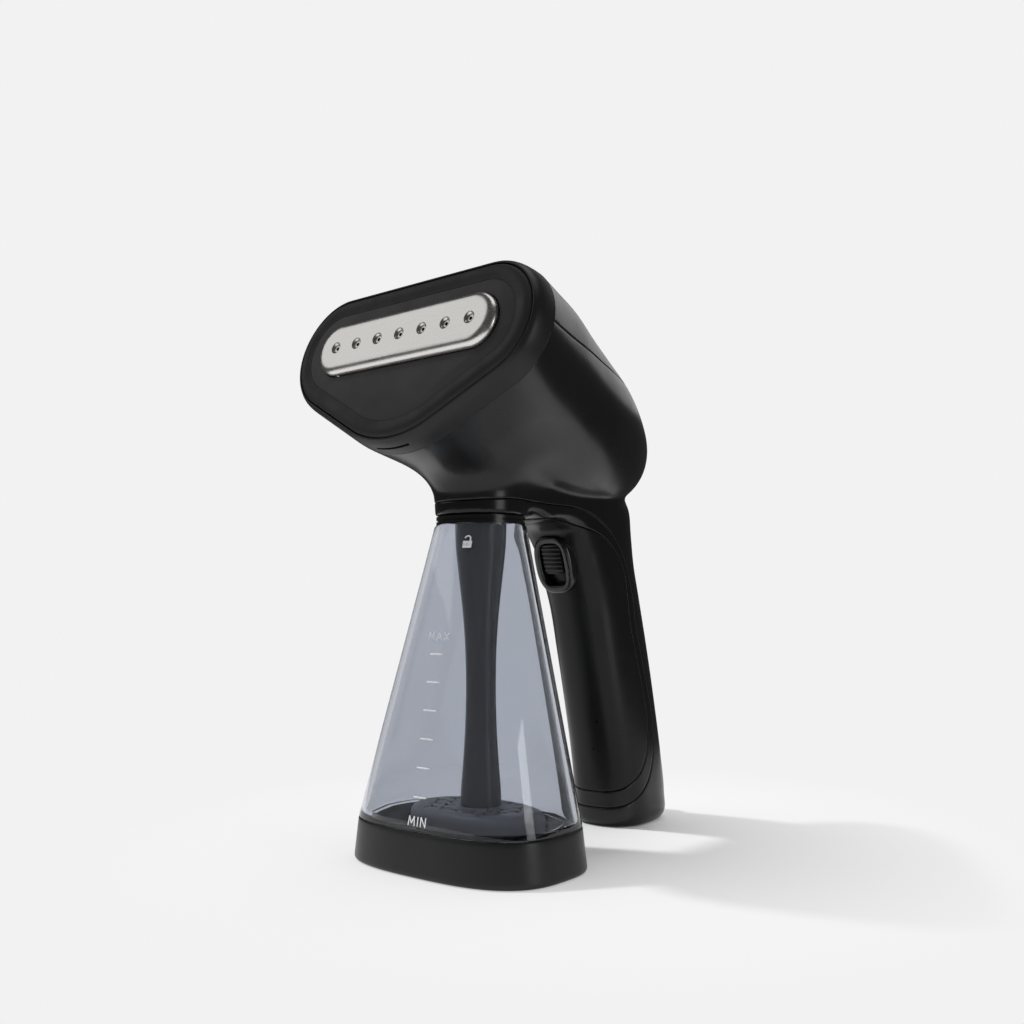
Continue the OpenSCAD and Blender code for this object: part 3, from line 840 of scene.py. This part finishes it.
def body_table():
    """Skin points with their normals and their distances to each seam."""
    points, faces = body_surface()
    x, y, z = points.T
    normals = vertex_normals(points, faces)
    (y0, z0), (y1, z1) = TOP_SEAM
    length = math.hypot(y1 - y0, z1 - z0)
    top = ((z - z0) * (y1 - y0) - (y - y0) * (z1 - z0)) / length
    behind = (y - PLATE[1]) * math.cos(FACE_TILT) - (z - PLATE[2]) * math.sin(FACE_TILT) - BEZEL_DEPTH
    round_the_back = [(60, -5), (160, -5), (160, 260), (-80, 260)]
    below_the_bridge = [(20, 15.6)]
    upper = seam_side(UPPER_SEAM, round_the_back, y, z)
    lower = seam_side(LOWER_SEAM, below_the_bridge, y, z)
    mouth = np.where(z < NECK_Z + MOUTH_HOLE_H, np.hypot(x, y) - MOUTH_HOLE_R, FAR)
    return np.column_stack([points, normals, behind, mouth, top, -top, upper, -upper, lower, -lower]), faces


def add_body():
    table, faces = body_table()
    behind, mouth, above, below, main, trim, grip, not_grip = range(6, 14)
    cover = shell_piece("top_cover_skin", table, faces, [behind, above])
    place(cover, "housing", COVER_BLACK, "cover_black", "top_cover")
    shell = shell_piece("main_shell_skin", table, faces, [behind, below, main])
    place(shell, "housing", SHELL_BLACK, "shell_black", "main_shell")
    sides = shell_piece("side_trim_skin", table, faces, [mouth, trim, not_grip])
    place(sides, "housing", TRIM_BLACK, "trim_black", "side_trim")
    panel = shell_piece("grip_panel_skin", table, faces, [grip])
    place(panel, "housing", GRIP_BLACK, "grip_black", "grip_panel")


# ---------------------------------------------------------------- steam face

def face_frame_piece(name, profile):
    """A frame that follows the face outline; profile holds (growth, distance out of the face)."""
    return ring_frame(name, [on_face(face_ring(e), out) for e, out in profile])


def add_bezel():
    """Rim behind the pad, rounded in front, with the vent slot in its underside."""
    outer = smooth_rows([(3.4, -13.9), (3.25, -11.5), (2.95, -9), (2.5, -7), (1.95, -5.6), (1.5, -5)],
                        [0, 1], 14)
    lip = rounded([(1.5, -5), (1.05, -4.35), (0.45, -4.35), (0.32, -9)], [0.6, 0.35, 0.25, 0.1])
    back = [(-9, -9), (-9, -11), (1, -11), (1, -13.9)]
    bezel = face_frame_piece("front_bezel_skin", list(map(tuple, outer)) + lip[6:] + back)
    low, high = -52, SLOT_H - 52
    corners = [(-SLOT_HALF_W, low), (SLOT_HALF_W, low), (SLOT_HALF_W, high), (-SLOT_HALF_W, high)]
    slot = loft("slot", [on_face(rounded(corners, 0.3), out) for out in (-9.7, -8.5)])
    carve(bezel, slot)
    sharpen(bezel, 40)
    place(bezel, "housing", BEZEL_BLACK, "bezel_black", "front_bezel")


def add_pad():
    """Soft rim round the face: full on its outer side, falling away gently to the panel."""
    crown = smooth_rows([(0.18, -5.6), (0.02, -4.75), (-0.7, -3.8), (-2.2, -3.08), (-3.3, -2.95),
                         (-4.3, -3.08), (-5.4, -3.36), (-6.3, -3.56), (-6.78, -3.62)], [0, 1], 30)
    profile = [(0.18, -8.9)] + list(map(tuple, crown)) + [(-6.78, -8.9)]
    pad = face_frame_piece("face_pad_skin", profile)
    sharpen(pad, 50)
    place(pad, "housing", PAD_BLACK, "pad_rubber", "face_pad")


def stadium(half_l, half_h, count=32):
    points = []
    for side, start in ((1, -math.pi / 2), (-1, math.pi / 2)):
        for a in np.linspace(start, start + math.pi, count):
            points.append((side * (half_l - half_h) + half_h * math.cos(a), half_h * math.sin(a)))
    return np.array(points)


def add_plate():
    """The steel plate with its heavily rounded rim and dimpled steam holes."""
    rim = [(PLATE_ROUND * (1 - math.sin(a)), -PLATE_DEPTH * (1 - math.cos(a)))
           for a in np.linspace(math.pi / 2, 0, 14)]
    rings = [on_face(stadium(PLATE_HALF_L, PLATE_HALF_H), -PLATE_DEPTH - 0.05)]
    rings += [on_face(stadium(PLATE_HALF_L - inset, PLATE_HALF_H - inset), out) for inset, out in rim]
    plate = loft("steam_plate_skin", rings)
    dimple = [(0.8, -6), (0.8, -1.1), (1.5, -1.0), (1.85, -0.75), (2.2, -0.35), (2.5, -0.1), (2.8, 0.01),
              (2.8, 1)]
    holes = []
    for k in range(-3, 4):
        at = np.array([k * HOLE_PITCH, 0])
        holes.append(loft("hole", [on_face(super_ring(r, r, 2, 32) + at, out) for r, out in dimple]))
    carve(plate, joined("holes", holes))
    sharpen(plate, 40)
    even = plate.modifiers.new("even", "WEIGHTED_NORMAL")
    even.keep_sharp = True
    even.weight = 100
    finished(plate)
    place(plate, "housing", STEEL, "plate_steel", "steam_plate")


def add_panel():
    """Dark panel inside the pad, with a well that the plate sits in."""
    panel = loft("face_panel_skin", [on_face(face_ring(-RING_W - d), out)
                                     for d, out in ((0, -8.9), (0, -3.9), (0.1, -3.7), (0.35, -3.6))])
    well = loft("well", [on_face(stadium(PLATE_HALF_L + g, PLATE_HALF_H + g), out)
                         for g, out in ((0.1, -9.5), (0.1, -4.1), (0.2, -3.8), (0.5, -3.55), (0.6, -3.4))])
    carve(panel, well)
    sharpen(panel, 30)
    place(panel, "housing", PANEL_GREY, "panel_grey", "face_panel")


# ---------------------------------------------------------------- slide switch

def on_switch(ring, out):
    """Points across and up the switch, set that far out of it, in the frame's axes."""
    lean = math.radians(SWITCH_LEAN)
    ring = np.asarray(ring, float)
    y = SWITCH[0] - ring[:, 1] * math.sin(lean) - out * math.cos(lean)
    z = SWITCH[1] + ring[:, 1] * math.cos(lean) - out * math.sin(lean)
    return np.stack([ring[:, 0], y, z], 1)


def add_switch_frame():
    """Tall rounded frame that stands proud of the grip, with a bevelled lip round its well."""
    half_w, half_h, top = SWITCH_SIZE
    count = 96
    outer = [(1.7, -2.9), (1.7, -0.6), (0.1, -0.5), (0.05, 0.3), (0.1, top - 1.6), (0.3, top - 0.8),
             (0.75, top - 0.3), (1.3, top - 0.08), (1.9, top - 0.02)]
    rings = [on_switch(super_ring(half_w - i, half_h - i, 2.7, count), out) for i, out in outer]
    inner = [(3.3, top - 0.05), (3.6, top - 0.2), (3.8, top - 0.6), (3.95, top - 1.2), (4, top - 2),
             (4, -1.2)]
    rings += [on_switch(super_ring(half_w - i, half_h - i, 3.6, count), out) for i, out in inner]
    piece = loft("switch_frame_skin", rings)
    sharpen(piece, 45)
    place(piece, "housing", SWITCH_BLACK, "switch_black", "switch_bezel")


def add_slider():
    """The sliding button: a block with rounded cross ribs."""
    half_w, half_l, top = 5.3, 7.1, SWITCH_SIZE[2] - RIB_H
    rings = []
    for up in np.linspace(-half_l, half_l, 141):
        end = min(1.0, abs(up) / half_l) ** 9
        wide = half_w * (1 - 0.13 * end)
        rib = 0.5 + 0.5 * math.cos(2 * math.pi * RIBS * up / (2 * half_l) + math.pi)
        crest = top + RIB_H * rib ** 0.7 * (1 - end) - 0.5 * end
        across = [(-wide, -0.9), (-wide, crest - 0.9), (-wide + 0.25, crest - 0.3), (-wide + 0.8, crest),
                  (wide - 0.8, crest), (wide - 0.25, crest - 0.3), (wide, crest - 0.9), (wide, -0.9)]
        rings.append(np.concatenate([on_switch([(x, up + SLIDER_UP)], out) for x, out in across]))
    piece = loft("switch_slider_skin", rings)
    sharpen(piece, 60)
    place(piece, "slider", SLIDER_BLACK, "slider_black", "switch_slider")


# ---------------------------------------------------------------- tank

def tank_outline(share, inset, count):
    """The tank's outline, from its foot at share 0 to its round mouth at share 1."""
    foot = super_ring(BASE_HALF_W * BASE_TAPER - inset, BASE_HALF_D * BASE_TAPER - inset, BASE_N, count)
    foot = foot + np.array([0, BASE_Y])
    mouth = super_ring(MOUTH_R - inset, MOUTH_R - inset, 2, count)
    return foot * (1 - share) + mouth * share


def tank_height(share):
    return BASE_H + share * (MOUTH_Z - BASE_H)


def add_tank():
    """Clear tank with its wall and a rounded floor inside the base."""
    count = 160
    outer = [flat_ring(tank_outline(0, 3.2, count), z) for z in (3.3, BASE_H - 1.2, BASE_H - 0.1)]
    outer += [flat_ring(tank_outline(0, i, count), BASE_H + h) for i, h in ((0.5, 0.0), (0.15, 0.15))]
    outer += [flat_ring(tank_outline(s, 0, count), tank_height(s)) for s in np.linspace(0.004, 0.99, 30)]
    mouth = ((0.15, 0.5), (0.5, 0.1), (1, 0))
    outer += [flat_ring(tank_outline(1, i, count), MOUTH_Z - h) for i, h in mouth]
    inner = [flat_ring(tank_outline(s, TANK_WALL, count), tank_height(s)) for s in np.linspace(1, 0.03, 30)]
    inner += [flat_ring(tank_outline(0, TANK_WALL + i, count), BASE_H + h)
              for i, h in ((0.15, 2), (0.7, 0), (2.2, -1.6), (3.2, -4), (3.4, -8), (4.2, -10.6), (6, -11.4))]
    tank = loft("tank_shell_skin", outer + inner)
    sharpen(tank, 35)
    place(tank, "tank", GLASS, "tank_smoke", "tank_shell")


def add_base():
    """Cup that holds the tank's foot, with a small rounded edge below and above."""
    count = 160

    def ring(grow, scale, z):
        outline = super_ring(BASE_HALF_W * scale + grow, BASE_HALF_D * scale + grow, BASE_N, count)
        return flat_ring(outline + np.array([0, BASE_Y]), z)

    def taper(z):
        return 1 + (BASE_TAPER - 1) * z / BASE_H

    edge = [(-2.4, 0.0), (-1.3, 0.12), (-0.5, 0.5), (-0.12, 1.1), (0, 1.9)]
    rings = [ring(g, taper(z), z) for g, z in edge]
    rings += [ring(0, taper(z), z) for z in np.linspace(3, BASE_H - 0.9, 10)]
    rings += [ring(g, taper(BASE_H - h), BASE_H - h) for g, h in ((-0.08, 0.5), (-0.3, 0.22), (-0.7, 0.1))]
    rings += [ring(-3.05, BASE_TAPER, z) for z in (BASE_H - 0.1, 3.25)]
    base = loft("tank_base_skin", rings)
    sharpen(base, 40)
    place(base, "tank", BASE_BLACK, "base_black", "tank_base")


def add_column():
    """Waisted tube in the middle of the tank."""
    outer = smooth_rows(COLUMN, [0, 1], 60)
    profile = [(r, z) for z, r in outer] + [(r - COLUMN_WALL, z) for z, r in outer[::-1]]
    column = revolve("uptake_tube_skin", profile, 72, closed=True)
    sharpen(column, 40)
    place(column, "tank", COLUMN_SMOKE, "column_smoke", "uptake_tube")


def star_cutter(x, y, turn, z):
    """A three-armed slot."""
    arms = []
    for k in range(3):
        a = turn + k * 2 * math.pi / 3
        along, across = np.array([math.cos(a), math.sin(a)]), np.array([-math.sin(a), math.cos(a)])
        b = a + math.pi / 3
        arms += [along * STAR_ARM - across * 0.6, along * STAR_ARM + across * 0.6]
        arms.append(0.7 * np.array([math.cos(b), math.sin(b)]))
    ring = np.array(arms) + np.array([x, y])
    return loft("star", [flat_ring(ring, z - 2.2), flat_ring(ring, z + 2)])


def add_filter():
    """Oval filter with a grid of star-shaped slots round the column's foot."""
    low, high = (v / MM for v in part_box("filter_puck"))
    mid_y = (low.y + high.y) / 2
    half_w, half_d = high.x - 0.1, (high.y - low.y) / 2 - 0.1
    top = high.z
    count = 120

    def ring(inset, z):
        return flat_ring(super_ring(half_w - inset, half_d - inset, 2.3, count) + np.array([0, mid_y]), z)

    profile = [(1, low.z + 0.1), (0, low.z + 6), (0, top - 3.4), (0.25, top - 2.2), (1.1, top - 1.1),
               (2.4, top - 0.4), (4.2, top - 0.05), (6, top)]
    puck = loft("filter_puck_skin", [ring(i, z) for i, z in profile])
    cutters = []
    for row in range(-3, 4):
        for column in range(-4, 5):
            x, y = (column + 0.5 * (row % 2)) * STAR_PITCH, mid_y + row * STAR_PITCH * 0.87
            within = math.hypot(x / half_w, (y - mid_y) / half_d) < 0.84
            if within and math.hypot(x, y) > COLUMN[0][1] + 3.2:
                cutters.append(star_cutter(x, y, (row + column) * 0.5, top))
    carve(puck, joined("stars", cutters))
    sharpen(puck, 35)
    place(puck, "tank", FILTER_GREY, "filter_grey", "filter_puck")


# ---------------------------------------------------------------- printed marks on the tank

def on_tank(x, z, out):
    """Point on the front of the tank at that x and height, moved forwards by out."""
    share = (z - BASE_H) / (MOUTH_Z - BASE_H)
    angle_low, angle_high = -math.pi, 0.0
    for _ in range(40):
        t = (angle_low + angle_high) / 2
        foot_x = BASE_HALF_W * BASE_TAPER * math.copysign(abs(math.cos(t)) ** (2 / BASE_N), math.cos(t))
        here = foot_x * (1 - share) + MOUTH_R * math.cos(t) * share
        if here < x:
            angle_low = t
        else:
            angle_high = t
    foot_y = BASE_Y - BASE_HALF_D * BASE_TAPER * abs(math.sin(t)) ** (2 / BASE_N)
    y = foot_y * (1 - share) + MOUTH_R * math.sin(t) * share
    return np.array([x, y - out, z])


def bar(a, b, width):
    """Pairs of edge points along a flat bar from a to b, which is a little longer at both ends."""
    a, b = np.array(a, float), np.array(b, float)
    along = (b - a) / np.linalg.norm(b - a)
    side = np.array([-along[1], along[0]]) * width / 2
    a, b = a - along * width * 0.3, b + along * width * 0.3
    return [(a + (b - a) * t + side, a + (b - a) * t - side) for t in np.linspace(0, 1, 6)]


def print_marks(name, strokes, width, material):
    """Draws 2-D strokes, as (x, height) points, on the front of the tank."""
    points, faces = [], []
    bars = [(a, b) for stroke in strokes for a, b in zip(stroke[:-1], stroke[1:])]
    for layer, (a, b) in enumerate(bars):
        start = len(points)
        for left, right in bar(a, b, width):
            lift = 0.05 + 0.002 * (layer % 5)
            points += [on_tank(left[0], left[1], lift), on_tank(right[0], right[1], lift)]
        faces += [(k, k + 1, k + 3, k + 2) for k in range(start, len(points) - 2, 2)]
    piece = new_piece(name, points, faces)
    ink = piece.modifiers.new("ink", "SOLIDIFY")
    ink.thickness = INK_THICKNESS * MM
    ink.offset = 0
    finished(piece)
    place(piece, "tank", material, None)


# Strokes of each letter, in a box that is 1 high
LETTERS = {
    "M": ([(0, 0), (0.12, 1), (0.5, 0.25), (0.88, 1), (1, 0)],),
    "A": ([(0, 0), (0.45, 1), (0.9, 0)], [(0.16, 0.34), (0.74, 0.34)]),
    "X": ([(0, 0), (0.75, 1)], [(0, 1), (0.75, 0)]),
    "I": ([(0.08, 0), (0.08, 1)],),
    "N": ([(0, 0), (0, 1), (0.75, 0), (0.75, 1)],),
}
LETTER_WIDTHS = {"M": 1.0, "A": 0.9, "X": 0.75, "I": 0.16, "N": 0.75}


def word_strokes(word, x, z, height):
    """Strokes of a word centred at x, z."""
    total = sum(LETTER_WIDTHS[c] for c in word) + LETTER_SPACE * (len(word) - 1)
    at = x - total * height / 2
    strokes = []
    for letter in word:
        strokes += [[(at + px * height, z + (pz - 0.5) * height) for px, pz in stroke]
                    for stroke in LETTERS[letter]]
        at += (LETTER_WIDTHS[letter] + LETTER_SPACE) * height
    return strokes


def add_marks():
    heights = np.linspace(TICK_TOP, TICK_LOW, TICKS)
    ticks = [[(TICK_X - TICK_HALF_W, z), (TICK_X + TICK_HALF_W, z)] for z in heights]
    print_marks("level_ticks", ticks, 0.55, INK)
    print_marks("max_label", word_strokes("MAX", TICK_X + 0.2, MAX_Z, 3.1), 0.4, PALE_INK)
    print_marks("min_label", word_strokes("MIN", TICK_X, MIN_Z, 3.3), 0.55, INK)
    x, z = LOCK_ICON
    left, right = x - 1.55, x + 1.55
    bars = [[(left, z - 0.1), (right, z - 0.1)], [(left, z - 2.1), (right, z - 2.1)]]
    for start, end in ((left, x - 0.35), (x + 0.35, right)):
        bars += [[(start, z - 0.8), (end, z - 0.8)], [(start, z - 1.5), (end, z - 1.5)]]
    print_marks("lock_icon_body", bars, 0.85, INK)
    hoop = [(x + 1.05, z + 0.2), (x + 1.05, z + 1.3)]
    hoop += [(x + 1.05 * math.cos(a), z + 1.3 + 1.05 * math.sin(a)) for a in np.linspace(0.3, 2.9, 9)]
    print_marks("lock_icon_hoop", [hoop], 0.5, INK)


# ---------------------------------------------------------------- build

def build():
    bpy.context.scene.view_settings.view_transform = "Standard"
    add_camera()
    add_world()
    add_floor()
    add_sun("key", (0.6, 0.35, -1), 1.75, 4)
    add_area("side_softbox", (-0.69, -0.51, 0.76), (0, -0.05, 0.21), (0.9, 0.9), 1.75)
    add_area("back_softbox", (-0.05, 0.95, 0.65), (0, 0.05, 0.2), (0.9, 0.5), 1.0)
    add_area("top_softbox", (0.1, 0.2, 1.1), (0, 0.03, 0.2), (0.9, 0.5), 1.5)
    add_area("right_strip", (0.9, 0.0, 0.12), (0, 0.03, 0.08), (0.3, 0.5), 1.3)
    dress_cad_nodes()
    add_body()
    add_bezel()
    add_pad()
    add_panel()
    add_plate()
    add_switch_frame()
    add_slider()
    add_tank()
    add_base()
    add_column()
    add_filter()
    add_marks()


build()
